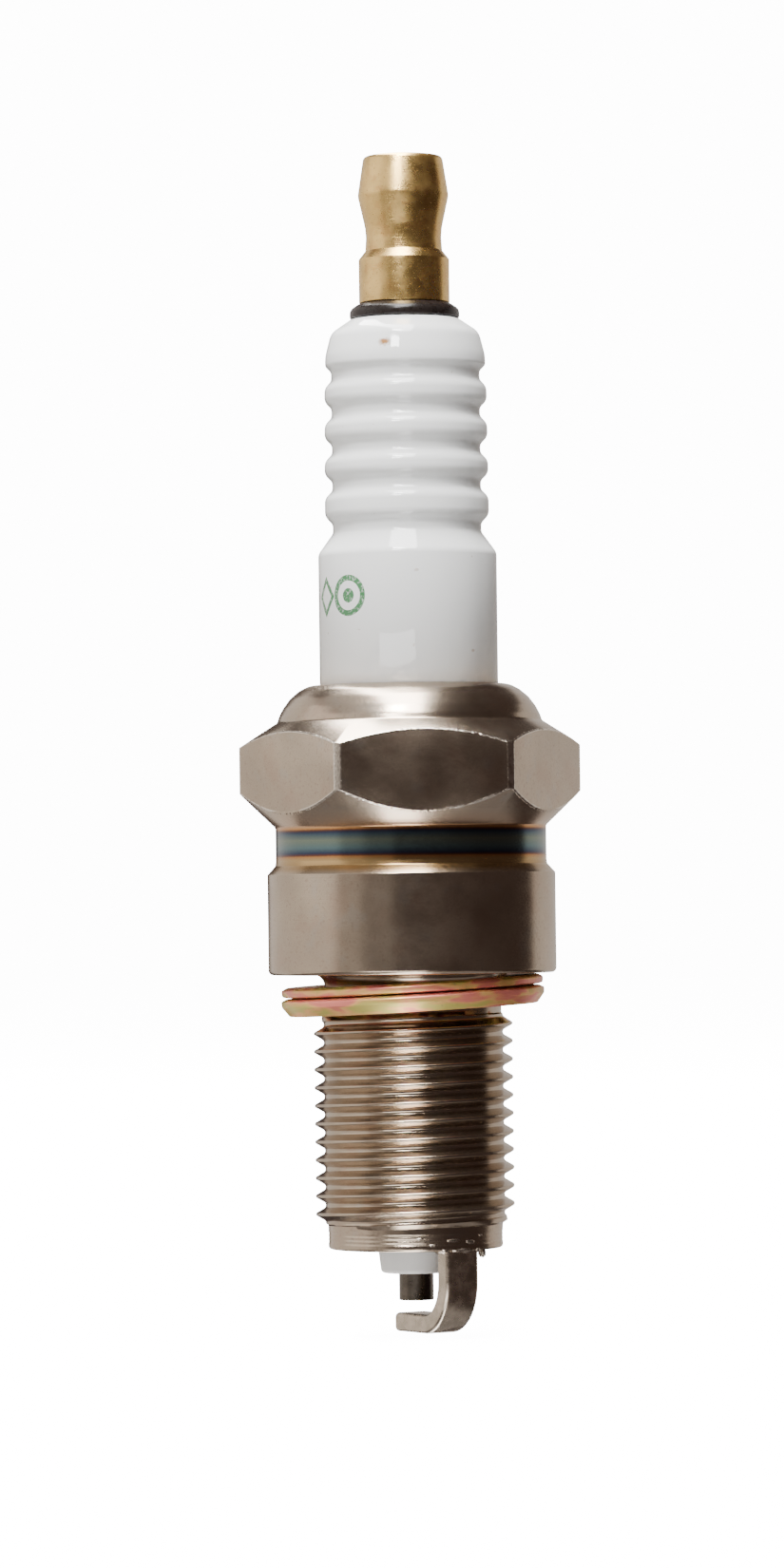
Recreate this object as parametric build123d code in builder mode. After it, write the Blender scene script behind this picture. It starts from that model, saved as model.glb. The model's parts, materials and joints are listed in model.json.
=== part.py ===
from build123d import *
import math
import os

# Spark plug with an M14 x 1.25 thread, a 19 mm reach, a 20.8 mm hexagon and a projected nose.
#
# Frame: the origin is the centre of the shell's gasket seat, +Z points to the terminal nut, and
# two flats of the hexagon face -Y, the front, and +Y. Millimetres and degrees.
#
# Heights are stacked from the seat: down by the reach, and up through collar, hexagon and crimp.
# The insulator and all that its bore holds take their places from the shell's ledge and lip.

os.makedirs("parts", exist_ok=True)

# ---- shell: thread end ----
reach = 19.0
thread_crest_radius = 6.9
thread_pitch = 1.25
thread_depth = 0.69
thread_root_flat = 0.3
thread_groove_height = -4.075  # height at which a groove's middle passes +X
pilot_step = 0.85  # from the thread's crest down to the pilot
pilot_length = 1.65
pilot_rounding = 0.25
lead_in_height = 0.6
neck_step = 0.77  # from the thread's crest down to the neck
neck_length = 2.75
runout_height = 0.7
seat_rounding = 0.8

# ---- shell: collar, heat-tinted groove, hexagon and crimp ----
collar_radius = 10.0
collar_height = 6.95
collar_rounding = 0.35
collar_bevel = 0.6
waist_radius = 9.4
waist_height = 2.65
waist_rounding = 0.25
hex_across_flats = 20.8
hex_corner_trim = 0.13
hex_height = 3.1
hex_lower_slope = 44.0
hex_upper_slope = 30.6
crimp_radius = 9.2
crimp_height = 2.76
crimp_rounding = 2.7
crimp_root_rounding = 0.1

# ---- shell: inside ----
shell_wall = 0.96  # between the thread's root and the bore behind it
ledge_depth = 6.3  # from the seat down to the ledge's rim
ledge_width = 0.9
ledge_slope = 31.4
land_length = 2.6
end_bore_relief = 0.27
packing_bore_radius = 7.7
bore_cone_height = 1.45  # where the cone up to the packing bore starts
lip_gap = 0.12
lip_thickness = 0.85
lip_slope = 26.9

# ---- insulator ----
insulator_radius = 6.2
insulator_height = 25.45  # above the shell's lip
inner_radius = 6.0  # between the lip and the flange
body_step_height = 0.1  # above the lip, where the glazed body starts
core_clearance = 0.2
flange_clearance = 0.2
packing_height = 6.6
nose_step = 0.15  # from the shoulder down to the nose's root
nose_tip_radius = 2.42
nose_projection = 1.7
nose_rounding = 0.3
insulator_bore_radius = 2.05
electrode_bore_radius = 1.27
head_radius = 5.57
head_rounding = 2.6
head_top_drop = 2.4  # height of the rounded stretch
rib_count = 4
rib_pitch = 2.55
rib_radius = 5.68
rib_rounding = 0.7
groove_floor_radius = 5.13
groove_floor_width = 0.6
groove_rounding = 0.5
first_groove_drop = 3.95  # from the insulator's top to the first groove's middle
shoulder_groove_drop = 2.96  # from the last of those grooves to the one above the shoulder
shoulder_height = 1.45
shoulder_rounding = 0.6

# ---- what the insulator's bore holds ----
electrode_seat_rise = 2.1  # above the ledge's rim
electrode_seat_slope = 42.0
electrode_head_radius = 1.75
electrode_head_height = 1.6
electrode_radius = 1.2
electrode_projection = 1.9
electrode_edge = 0.1
copper_core_radius = 0.65
copper_core_top_cover = 0.6
copper_core_tip_cover = 3.1
lower_seal_length = 3.1
resistor_length = 8.0
upper_seal_length = 5.0
stud_embedding = 3.5
stud_clearance = 0.1
stud_grip_radius = 1.8
stud_grip_pitch = 0.8
stud_grip_depth = 0.25
stud_collar_radius = 2.4
stud_collar_height = 1.0

# ---- M4 terminal thread, O-ring and nut ----
stud_crest_radius = 1.95
stud_pitch = 0.7
stud_thread_depth = 0.43
stud_root_flat = 0.1165
stud_thread_height = 9.5  # from the collar to the stud's end
stud_undercut = 0.8
stud_bevel = 0.4
nut_thread_crest_radius = 1.66
nut_thread_root_radius = 2.03
nut_thread_root_flat = 0.115
nut_mouth_bevel = 0.35
seat_play = 0.03  # above and below the O-ring
o_ring_radius = 3.17
o_ring_half_width = 0.65
o_ring_half_height = 0.52
nut_collar_radius = 3.15
nut_collar_height = 3.05
nut_bevel_height = 0.6
nut_bevel_radius = 2.68
nut_neck_radius = 2.62
nut_neck_height = 5.2  # above the nut's foot, where the flare starts
nut_bulb_radius = 3.1
nut_bulb_height = 7.45
nut_bulb_rounding = 1.1
nut_tip_radius = 2.68
nut_height = 10.25
nut_rounding = 0.28

# ---- packing ----
packing_play = 0.05
seat_washer_thickness = 0.35
seat_washer_inset = 0.08

# ---- ground electrode and its weld ----
strap_azimuth = 27.0  # from the front towards +X
strap_width = 2.7
strap_thickness = 1.3
strap_rounding = 0.25
strap_bend = 2.2
strap_overhang = 0.7  # past the axis
spark_gap = 0.85
weld_margin = 0.22
weld_height = 0.25

# ---- crush gasket, a folded ring that hangs loose on the neck ----
gasket_radius = 9.15
gasket_height = 2.0
gasket_tilt = 2.75
gasket_seat_gap = 0.49  # from the seat down to the gasket's top at its middle
gasket_sheet = 0.42
gasket_hold = 0.3  # inner edge inside the thread's crest
gasket_foot_radius = 7.25
gasket_rounding = 0.15

turned = Plane.XZ


def lathe_section(*corners, plane=turned):
    """A closed section for turning, from corners of radius, height and rounding."""
    with BuildSketch(plane) as section:
        with BuildLine():
            FilletPolyline(
                *[(radius, height) for radius, height, _ in corners],
                radius=[rounding for _, _, rounding in corners],
                close=True,
            )
        make_face()
    return section.sketch


def thread_turn(root_radius, mouth_radius, root_flat, pitch, start):
    """One turn of a right-hand 60 degree thread groove, from above +X and back there."""
    half_root = root_flat / 2
    half_mouth = half_root + abs(mouth_radius - root_radius) * math.tan(math.radians(30))
    with BuildPart() as turn:
        with BuildLine() as path:
            Helix(pitch=pitch, height=pitch, radius=root_radius, center=(0, 0, start))
        with BuildSketch(turned):
            with BuildLine():
                Polyline(
                    (root_radius, start - half_root),
                    (mouth_radius, start - half_mouth),
                    (mouth_radius, start + half_mouth),
                    (root_radius, start + half_root),
                    close=True,
                )
            make_face()
        sweep(path=path.line, is_frenet=True)
    return turn.part


def rise(run, slope):
    """Height that a cone of this slope climbs over a change in radius."""
    return run * math.tan(math.radians(slope))


# ---- heights of the shell, stacked from the seat ----
thread_root_radius = thread_crest_radius - thread_depth
pilot_radius = thread_crest_radius - pilot_step
neck_radius = thread_crest_radius - neck_step
thread_overshoot = 0.05
collar_top = collar_height + collar_bevel
waist_top = collar_top + waist_height
hex_corner_radius = hex_across_flats / math.sqrt(3) - hex_corner_trim
hex_bottom = waist_top + rise(hex_corner_radius - waist_radius, hex_lower_slope)
hex_top = hex_bottom + hex_height
crimp_root = hex_top + rise(hex_corner_radius - crimp_radius, hex_upper_slope)
lip_top = crimp_root + crimp_height
lip_radius = insulator_radius + lip_gap
lip_inner_bottom = lip_top - lip_thickness
lip_outer_bottom = lip_inner_bottom - rise(packing_bore_radius - lip_radius, lip_slope)
core_bore_radius = thread_root_radius - shell_wall
land_radius = core_bore_radius - ledge_width
land_top = -ledge_depth - rise(ledge_width, ledge_slope)
land_bottom = land_top - land_length
end_bore_radius = land_radius + end_bore_relief
bore_cone_top = bore_cone_height + packing_bore_radius - core_bore_radius

# ---- shell ----
groove_foot = pilot_length - reach - thread_pitch / 2
groove_start = thread_groove_height - thread_pitch * math.ceil(
    (thread_groove_height - groove_foot) / thread_pitch
)
groove_turns = math.ceil((thread_pitch / 2 - neck_length - groove_start) / thread_pitch)

with BuildPart() as shell:
    revolve(
        lathe_section(
            (end_bore_radius, -reach, 0),
            (pilot_radius, -reach, pilot_rounding),
            (pilot_radius, pilot_length - reach, 0),
            (thread_crest_radius, pilot_length + lead_in_height - reach, 0),
            (thread_crest_radius, -neck_length - runout_height, 0),
            (neck_radius, -neck_length, 0),
            (neck_radius, 0, seat_rounding),
            (collar_radius, 0, collar_rounding),
            (collar_radius, collar_height, 0),
            (collar_radius - collar_bevel, collar_top, waist_rounding),
            (waist_radius, waist_top, waist_rounding),
            (hex_corner_radius, hex_bottom, 0),
            (hex_corner_radius, hex_top, 0),
            (crimp_radius, crimp_root, crimp_root_rounding),
            (crimp_radius, lip_top, crimp_rounding),
            (lip_radius, lip_top, 0),
            (lip_radius, lip_inner_bottom, 0),
            (packing_bore_radius, lip_outer_bottom, 0),
            (packing_bore_radius, bore_cone_top, 0),
            (core_bore_radius, bore_cone_height, 0),
            (core_bore_radius, -ledge_depth, 0),
            (land_radius, land_top, 0),
            (land_radius, land_bottom, 0),
            (end_bore_radius, land_bottom - end_bore_relief, 0),
        ),
        axis=Axis.Z,
    )
    with BuildSketch(Plane.XY.offset(waist_top)):
        Circle(hex_corner_radius + hex_height)
        RegularPolygon(hex_across_flats / 2, 6, major_radius=False, mode=Mode.SUBTRACT)
    extrude(amount=crimp_root - waist_top, mode=Mode.SUBTRACT)
    for turn in range(groove_turns):
        add(
            thread_turn(
                thread_root_radius,
                thread_crest_radius + thread_overshoot,
                thread_root_flat,
                thread_pitch,
                groove_start + turn * thread_pitch,
            ),
            mode=Mode.SUBTRACT,
        )
shell.part.label = "shell"
export_step(shell.part, "parts/shell.step")

# ---- insulator: nose, core, flange and ribbed head ----
nose_tip = -reach - nose_projection
insulator_core_radius = core_bore_radius - core_clearance
washer_rise = seat_washer_thickness / math.cos(math.radians(ledge_slope))


def ledge_height(radius):
    """Height of the shell's ledge cone at this radius."""
    return -ledge_depth - rise(core_bore_radius - radius, ledge_slope)


shoulder_inner_radius = land_radius - core_clearance
nose_root = ledge_height(shoulder_inner_radius) + washer_rise
nose_shoulder = ledge_height(insulator_core_radius) + washer_rise
nose_root_radius = shoulder_inner_radius - nose_step
nose_cone_top = nose_root - nose_step * 2
flange_radius = packing_bore_radius - flange_clearance
flange_bottom = bore_cone_top + core_clearance / 2
flange_cone_start = flange_bottom - (flange_radius - insulator_core_radius)
flange_top = lip_outer_bottom - packing_height
flange_cone_top = flange_top + rise(flange_radius - inner_radius, hex_upper_slope)
body_step = lip_top + body_step_height
insulator_top = lip_top + insulator_height
electrode_seat = electrode_seat_rise - ledge_depth
electrode_seat_foot = electrode_seat - rise(
    insulator_bore_radius - electrode_bore_radius, electrode_seat_slope
)
head_side_top = insulator_top - head_top_drop
head_arc = math.degrees(math.asin(head_top_drop / head_rounding))
head_face_radius = head_radius - head_rounding * (1 - math.cos(math.radians(head_arc)))
groove_middles = [insulator_top - first_groove_drop - rib_pitch * n for n in range(rib_count)]
lowest_floor_top = groove_middles[-1] - shoulder_groove_drop + groove_floor_width / 2
body_top = lowest_floor_top - groove_floor_width - shoulder_height

groove_corners = []
for middle in groove_middles[::-1]:
    half_floor = groove_floor_width / 2
    half_mouth = half_floor + rib_radius - groove_floor_radius
    mouth_radius = head_radius if middle == groove_middles[0] else rib_radius
    upper_mouth = half_floor + mouth_radius - groove_floor_radius
    groove_corners += [
        (rib_radius, middle - half_mouth, rib_rounding),
        (groove_floor_radius, middle - half_floor, groove_rounding),
        (groove_floor_radius, middle + half_floor, groove_rounding),
        (mouth_radius, middle + upper_mouth, rib_rounding if mouth_radius == rib_radius else 0.3),
    ]

with BuildPart() as insulator:
    with BuildSketch(turned):
        with BuildLine():
            outside = FilletPolyline(
                (electrode_bore_radius, nose_tip),
                (nose_tip_radius, nose_tip),
                (nose_root_radius, nose_cone_top),
                (shoulder_inner_radius, nose_root),
                (insulator_core_radius, nose_shoulder),
                (insulator_core_radius, flange_cone_start),
                (flange_radius, flange_bottom),
                (flange_radius, flange_top),
                (inner_radius, flange_cone_top),
                (inner_radius, body_step - (insulator_radius - inner_radius)),
                (insulator_radius, body_step),
                (insulator_radius, body_top),
                (groove_floor_radius, lowest_floor_top - groove_floor_width),
                (groove_floor_radius, lowest_floor_top),
                (rib_radius, lowest_floor_top + rib_radius - groove_floor_radius),
                *[(radius, height) for radius, height, _ in groove_corners],
                (head_radius, head_side_top),
                radius=[nose_rounding, 0, 0, 0, 0, 0, 0, 0, 0, 0, shoulder_rounding]
                + [groove_rounding, groove_rounding, rib_rounding]
                + [rounding for _, _, rounding in groove_corners],
            )
            head = JernArc(
                start=(head_radius, head_side_top),
                tangent=(0, 1),
                radius=head_rounding,
                arc_size=head_arc,
            )
            Polyline(
                (head_face_radius, insulator_top),
                (insulator_bore_radius, insulator_top),
                (insulator_bore_radius, electrode_seat),
                (electrode_bore_radius, electrode_seat_foot),
                (electrode_bore_radius, nose_tip),
            )
        make_face()
    revolve(axis=Axis.Z)
insulator.part.label = "insulator"
export_step(insulator.part, "parts/insulator.step")

# ---- conical washer that seals the insulator's shoulder on the ledge ----
washer_inner = land_radius + seat_washer_inset
washer_outer = core_bore_radius - seat_washer_inset

with BuildPart() as seat_gasket:
    revolve(
        lathe_section(
            (washer_inner, ledge_height(washer_inner), 0),
            (washer_outer, ledge_height(washer_outer), 0),
            (washer_outer, ledge_height(washer_outer) + washer_rise, 0),
            (washer_inner, ledge_height(washer_inner) + washer_rise, 0),
        ),
        axis=Axis.Z,
    )
seat_gasket.part.label = "seat_gasket"
export_step(seat_gasket.part, "parts/seat_gasket.step")

# ---- packing rings of round wire, and the pressed talc between them ----
wire_radius = (packing_bore_radius - inner_radius) / 2 - packing_play
wire_place = (packing_bore_radius + inner_radius) / 2


def ring_height(foot, run, slope, side):
    """Height of a wire ring that rests on a cone, above it with side 1 and below it with -1."""
    contact = foot + rise(run, slope)
    return contact + side * (wire_radius / math.cos(math.radians(slope)) + packing_play / 2)


lower_ring_height = ring_height(flange_top, flange_radius - wire_place, hex_upper_slope, 1)
upper_ring_height = ring_height(lip_outer_bottom, packing_bore_radius - wire_place, lip_slope, -1)

with BuildPart() as lower_packing_ring:
    with BuildSketch(turned):
        with Locations((wire_place, lower_ring_height)):
            Circle(wire_radius)
    revolve(axis=Axis.Z)
lower_packing_ring.part.label = "lower_packing_ring"
export_step(lower_packing_ring.part, "parts/lower_packing_ring.step")

with BuildPart() as upper_packing_ring:
    with BuildSketch(turned):
        with Locations((wire_place, upper_ring_height)):
            Circle(wire_radius)
    revolve(axis=Axis.Z)
upper_packing_ring.part.label = "upper_packing_ring"
export_step(upper_packing_ring.part, "parts/upper_packing_ring.step")

talc_bottom = lower_ring_height + wire_radius
talc_top = upper_ring_height - wire_radius
with BuildPart() as talc_packing:
    with BuildSketch(Plane.XY.offset(talc_bottom)):
        Circle(packing_bore_radius)
        Circle(inner_radius, mode=Mode.SUBTRACT)
    extrude(amount=talc_top - talc_bottom)
talc_packing.part.label = "talc_packing"
export_step(talc_packing.part, "parts/talc_packing.step")

# ---- centre electrode: nickel sheath with a head, around a copper core ----
electrode_tip = nose_tip - electrode_projection
electrode_head_top = electrode_seat + electrode_head_height
head_cone_foot = electrode_seat - rise(electrode_head_radius - electrode_radius, electrode_seat_slope)
copper_top = electrode_seat + electrode_head_height - copper_core_top_cover
copper_bottom = electrode_tip + copper_core_tip_cover

with BuildPart() as electrode_copper_core:
    with BuildSketch(Plane.XY.offset(copper_bottom)):
        Circle(copper_core_radius)
    extrude(amount=copper_top - copper_bottom)
    fillet(electrode_copper_core.faces().sort_by(Axis.Z)[0].edges(), copper_core_radius / 2)
electrode_copper_core.part.label = "electrode_copper_core"
export_step(electrode_copper_core.part, "parts/electrode_copper_core.step")

with BuildPart() as centre_electrode:
    revolve(
        lathe_section(
            (0, electrode_tip, 0),
            (electrode_radius, electrode_tip, electrode_edge),
            (electrode_radius, head_cone_foot, 0),
            (electrode_head_radius, electrode_seat, 0),
            (electrode_head_radius, electrode_head_top, electrode_edge),
            (0, electrode_head_top, 0),
        ),
        axis=Axis.Z,
    )
    add(electrode_copper_core.part, mode=Mode.SUBTRACT)
centre_electrode.part.label = "centre_electrode"
export_step(centre_electrode.part, "parts/centre_electrode.step")

# ---- fused column in the bore: lower seal, resistor, and the upper seal around the stud ----
lower_seal_top = electrode_head_top + lower_seal_length
resistor_top = lower_seal_top + resistor_length
upper_seal_top = resistor_top + upper_seal_length
stud_bottom = upper_seal_top - stud_embedding

with BuildPart() as lower_glass_seal:
    revolve(
        lathe_section(
            (0, electrode_head_top, 0),
            (electrode_head_radius, electrode_head_top, 0),
            (electrode_head_radius, electrode_seat, 0),
            (insulator_bore_radius, electrode_seat, 0),
            (insulator_bore_radius, lower_seal_top, 0),
            (0, lower_seal_top, 0),
        ),
        axis=Axis.Z,
    )
lower_glass_seal.part.label = "lower_glass_seal"
export_step(lower_glass_seal.part, "parts/lower_glass_seal.step")

with BuildPart() as resistor:
    with BuildSketch(Plane.XY.offset(lower_seal_top)):
        Circle(insulator_bore_radius)
    extrude(amount=resistor_length)
resistor.part.label = "resistor"
export_step(resistor.part, "parts/resistor.step")

# ---- terminal stud: gripping rings in the glass, shank, collar and M4 thread ----
stud_radius = insulator_bore_radius - stud_clearance
stud_collar_top = insulator_top + stud_collar_height
stud_top = stud_collar_top + stud_thread_height
stud_root_radius = stud_crest_radius - stud_thread_depth
stud_thread_bottom = stud_collar_top + stud_undercut
grip_rings = math.floor((stud_embedding - stud_grip_pitch) / stud_grip_pitch)
grip_top = stud_bottom + stud_grip_pitch * (grip_rings + 0.5)
stud_groove_start = stud_collar_top + stud_undercut / 2
stud_turns = math.ceil((stud_top + stud_pitch / 2 - stud_groove_start) / stud_pitch)

with BuildPart() as terminal_stud:
    revolve(
        lathe_section(
            (0, stud_bottom, 0),
            (stud_grip_radius, stud_bottom, stud_grip_depth),
            (stud_grip_radius, grip_top, 0),
            (stud_radius, grip_top + stud_grip_depth, 0),
            (stud_radius, insulator_top, 0),
            (stud_collar_radius, insulator_top, 0),
            (stud_collar_radius, stud_collar_top, stud_grip_depth),
            (stud_root_radius - thread_overshoot, stud_collar_top, 0),
            (stud_root_radius - thread_overshoot, stud_thread_bottom, 0),
            (stud_crest_radius, stud_thread_bottom + stud_thread_depth, 0),
            (stud_crest_radius, stud_top - stud_bevel, 0),
            (stud_crest_radius - stud_bevel, stud_top, 0),
            (0, stud_top, 0),
        ),
        axis=Axis.Z,
    )
    for ring in range(grip_rings):
        middle = stud_bottom + stud_grip_pitch * (ring + 1)
        revolve(
            lathe_section(
                (stud_grip_radius - stud_grip_depth, middle, 0),
                (stud_grip_radius + stud_grip_depth, middle - stud_grip_depth, 0),
                (stud_grip_radius + stud_grip_depth, middle + stud_grip_depth, 0),
            ),
            axis=Axis.Z,
            mode=Mode.SUBTRACT,
        )
    for turn in range(stud_turns):
        add(
            thread_turn(
                stud_root_radius,
                stud_crest_radius + thread_overshoot,
                stud_root_flat,
                stud_pitch,
                stud_groove_start + turn * stud_pitch,
            ),
            mode=Mode.SUBTRACT,
        )
terminal_stud.part.label = "terminal_stud"
export_step(terminal_stud.part, "parts/terminal_stud.step")

with BuildPart() as upper_glass_seal:
    with BuildSketch(Plane.XY.offset(resistor_top)):
        Circle(insulator_bore_radius)
    extrude(amount=upper_seal_length)
    add(terminal_stud.part, mode=Mode.SUBTRACT)
upper_glass_seal.part.label = "upper_glass_seal"
export_step(upper_glass_seal.part, "parts/upper_glass_seal.step")

# ---- O-ring of oval section, nipped between the insulator and the nut ----
o_ring_middle = insulator_top + seat_play + o_ring_half_height

with BuildPart() as terminal_o_ring:
    with BuildSketch(turned):
        with Locations((o_ring_radius, o_ring_middle)):
            Ellipse(o_ring_half_width, o_ring_half_height)
    revolve(axis=Axis.Z)
terminal_o_ring.part.label = "terminal_o_ring"
export_step(terminal_o_ring.part, "parts/terminal_o_ring.step")

# ---- terminal nut: collar, neck and bulb, tapped right through ----
nut_foot = o_ring_middle + o_ring_half_height + seat_play
nut_top = nut_foot + nut_height
nut_bevel_foot = nut_foot + nut_collar_height
nut_groove_start = stud_groove_start - stud_pitch * 1.5  # half a pitch out of step with the stud's
nut_turns = math.ceil((nut_top + stud_pitch / 2 - nut_groove_start) / stud_pitch)

with BuildPart() as terminal_nut:
    revolve(
        lathe_section(
            (nut_thread_crest_radius, nut_foot + nut_mouth_bevel, 0),
            (nut_thread_root_radius + nut_mouth_bevel / 2, nut_foot, 0),
            (nut_collar_radius, nut_foot, nut_rounding / 2),
            (nut_collar_radius, nut_bevel_foot, nut_rounding / 2),
            (nut_bevel_radius, nut_bevel_foot + nut_bevel_height, nut_rounding / 2),
            (nut_neck_radius, nut_foot + nut_neck_height, nut_bulb_rounding),
            (nut_bulb_radius, nut_foot + nut_bulb_height, nut_bulb_rounding),
            (nut_tip_radius, nut_top, nut_rounding),
            (nut_thread_root_radius + nut_mouth_bevel / 2, nut_top, 0),
            (nut_thread_crest_radius, nut_top - nut_mouth_bevel, 0),
        ),
        axis=Axis.Z,
    )
    for turn in range(nut_turns):
        add(
            thread_turn(
                nut_thread_root_radius,
                nut_thread_crest_radius - thread_overshoot,
                nut_thread_root_flat,
                stud_pitch,
                nut_groove_start + turn * stud_pitch,
            ),
            mode=Mode.SUBTRACT,
        )
terminal_nut.part.label = "terminal_nut"
export_step(terminal_nut.part, "parts/terminal_nut.step")

# ---- ground electrode: a strap bent from the end face under the centre electrode ----
strap_direction = (
    math.sin(math.radians(strap_azimuth)),
    -math.cos(math.radians(strap_azimuth)),
    0,
)
strap_side = (-math.cos(math.radians(strap_azimuth)), -math.sin(math.radians(strap_azimuth)), 0)
strap_plane = Plane(origin=(0, 0, 0), x_dir=strap_direction, z_dir=strap_side)
strap_middle = electrode_tip - spark_gap - strap_thickness / 2
strap_radius = (end_bore_radius + pilot_radius) / 2
strap_root_plane = Plane(
    origin=(strap_direction[0] * strap_radius, strap_direction[1] * strap_radius, -reach),
    x_dir=strap_direction,
    z_dir=(0, 0, -1),
)

with BuildPart() as ground_electrode:
    with BuildLine(strap_plane) as strap_path:
        FilletPolyline(
            (strap_radius, -reach),
            (strap_radius, strap_middle),
            (-strap_overhang, strap_middle),
            radius=strap_bend,
        )
    with BuildSketch(strap_root_plane):
        RectangleRounded(strap_thickness, strap_width, strap_rounding)
    sweep(path=strap_path.line)
ground_electrode.part.label = "ground_electrode"
export_step(ground_electrode.part, "parts/ground_electrode.step")

with BuildPart() as electrode_weld:
    with BuildSketch(strap_root_plane):
        RectangleRounded(
            strap_thickness + weld_margin, strap_width + 2 * weld_margin, strap_rounding + weld_margin / 2
        )
    extrude(amount=weld_height, taper=20)
    add(ground_electrode.part, mode=Mode.SUBTRACT)
electrode_weld.part.label = "electrode_weld"
export_step(electrode_weld.part, "parts/electrode_weld.step")

# ---- crush gasket: sheet folded into an S, rocked to one side on the neck ----
tilt = math.radians(gasket_tilt)
gasket_axis = (-math.sin(tilt), 0, math.cos(tilt))
gasket_middle = -gasket_seat_gap - gasket_height / 2
gasket_plane = Plane(
    origin=(0, 0, gasket_middle), x_dir=(math.cos(tilt), 0, math.sin(tilt)), z_dir=(0, -1, 0)
)
half_gasket = gasket_height / 2
gasket_inner_radius = thread_crest_radius - gasket_hold

with BuildPart() as crush_gasket:
    revolve(
        lathe_section(
            (gasket_inner_radius, half_gasket, gasket_sheet),
            (gasket_radius - 0.08, half_gasket, gasket_rounding * 2),
            (gasket_radius - 0.08, half_gasket - gasket_sheet * 1.35, gasket_rounding),
            (gasket_inner_radius + 0.8, half_gasket - gasket_sheet * 1.35, 0),
            (gasket_inner_radius + 0.8, half_gasket - gasket_sheet * 1.6, 0),
            (gasket_radius, half_gasket - gasket_sheet * 1.6, gasket_rounding * 2),
            (gasket_radius, -half_gasket * 0.45, gasket_rounding * 2),
            (gasket_radius - gasket_sheet, -half_gasket, gasket_rounding),
            (gasket_foot_radius, -half_gasket, 0),
            (gasket_foot_radius, -half_gasket + gasket_sheet, 0),
            (gasket_radius - gasket_sheet * 1.6, -half_gasket + gasket_sheet, gasket_rounding),
            (gasket_radius - gasket_sheet, -half_gasket * 0.1, gasket_rounding),
            (gasket_inner_radius, 0, gasket_rounding * 2),
            plane=gasket_plane,
        ),
        axis=Axis((0, 0, gasket_middle), gasket_axis),
    )
crush_gasket.part.label = "crush_gasket"
export_step(crush_gasket.part, "parts/crush_gasket.step")
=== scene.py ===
"""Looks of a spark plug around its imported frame, laid out as a Blender add-on.

Sizes are millimetres until a piece is made, and metres in every mesh. The origin is the centre of
the shell's gasket seat, +Z points to the terminal nut, and -Y is the front.
"""

import json
import math

import bpy
from bpy.props import FloatProperty, FloatVectorProperty, IntProperty, PointerProperty
from mathutils import Matrix, Vector, noise


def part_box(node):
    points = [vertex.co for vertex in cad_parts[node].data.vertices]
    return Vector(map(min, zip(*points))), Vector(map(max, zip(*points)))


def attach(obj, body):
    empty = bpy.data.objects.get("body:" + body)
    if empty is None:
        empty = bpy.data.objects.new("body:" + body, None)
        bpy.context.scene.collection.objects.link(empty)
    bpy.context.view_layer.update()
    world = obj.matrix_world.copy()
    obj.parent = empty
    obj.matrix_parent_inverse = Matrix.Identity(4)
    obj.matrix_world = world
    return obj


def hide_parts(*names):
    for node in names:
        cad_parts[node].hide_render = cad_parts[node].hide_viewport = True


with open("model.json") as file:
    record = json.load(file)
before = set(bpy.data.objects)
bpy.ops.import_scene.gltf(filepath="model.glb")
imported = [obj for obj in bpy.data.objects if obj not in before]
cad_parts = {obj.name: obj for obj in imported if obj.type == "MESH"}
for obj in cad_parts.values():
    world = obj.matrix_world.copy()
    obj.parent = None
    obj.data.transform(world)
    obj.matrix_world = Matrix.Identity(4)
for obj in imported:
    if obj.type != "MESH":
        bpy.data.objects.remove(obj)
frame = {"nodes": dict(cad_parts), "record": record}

bpy.ops.object.select_all(action="DESELECT")

bl_info = {
    "name": "Spark plug",
    "version": (1, 0, 0),
    "blender": (4, 5, 0),
    "location": "3D View > Sidebar > Spark Plug",
    "description": "Builds a spark plug's visible pieces, finishes and studio around its frame",
    "category": "Object",
}

MM = 0.001
MERGE = 2e-7
FULL_TURN = 2 * math.pi


def corners_of(node):
    """Lowest and highest corner of a CAD node, in millimetres."""
    low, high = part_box(node)
    return Vector(low) / MM, Vector(high) / MM


def mount(name):
    """One of the record's mounts."""
    return next(m for m in frame["record"]["mounts"] if m["name"] == name)


def joint(name):
    """One of the frame's joints."""
    return next(j for j in frame["record"]["behaviour"]["joints"] if j["name"] == name)


SHELL_LOW, SHELL_HIGH = corners_of("shell")
INSULATOR_LOW, INSULATOR_HIGH = corners_of("insulator")
NUT_LOW, NUT_HIGH = corners_of("terminal_nut")
RING_LOW, RING_HIGH = corners_of("terminal_o_ring")
STUD_LOW, STUD_HIGH = corners_of("terminal_stud")
ELECTRODE_LOW, ELECTRODE_HIGH = corners_of("centre_electrode")
STRAP_LOW, STRAP_HIGH = corners_of("ground_electrode")
GASKET_LOW, GASKET_HIGH = corners_of("crush_gasket")
GASKET_MIDDLE = (GASKET_LOW.z + GASKET_HIGH.z) / 2


# ---------------------------------------------------------------- sizes and colours


class SparkPlugShell(bpy.types.PropertyGroup):
    """Sizes and colours of the shell."""

    steps: IntProperty(name="Steps", description="Faces around the shell", default=144, min=24)
    across_flats: FloatProperty(
        name="Across flats", description="Hexagon, in mm", default=SHELL_HIGH.y - SHELL_LOW.y
    )
    crest: FloatProperty(
        name="Thread crest", description="Radius in mm", default=mount("thread_m14")["dims"]["r_mm"]
    )
    depth: FloatProperty(name="Thread depth", description="In mm", default=0.68)
    pitch: FloatProperty(name="Thread pitch", description="In mm", default=1.25)
    groove_height: FloatProperty(
        name="Groove height", description="Height where a groove passes +X, in mm", default=-4.075
    )
    metal: FloatVectorProperty(
        name="Metal", description="Nickel plating", subtype="COLOR", default=(0.50, 0.405, 0.31)
    )


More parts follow.
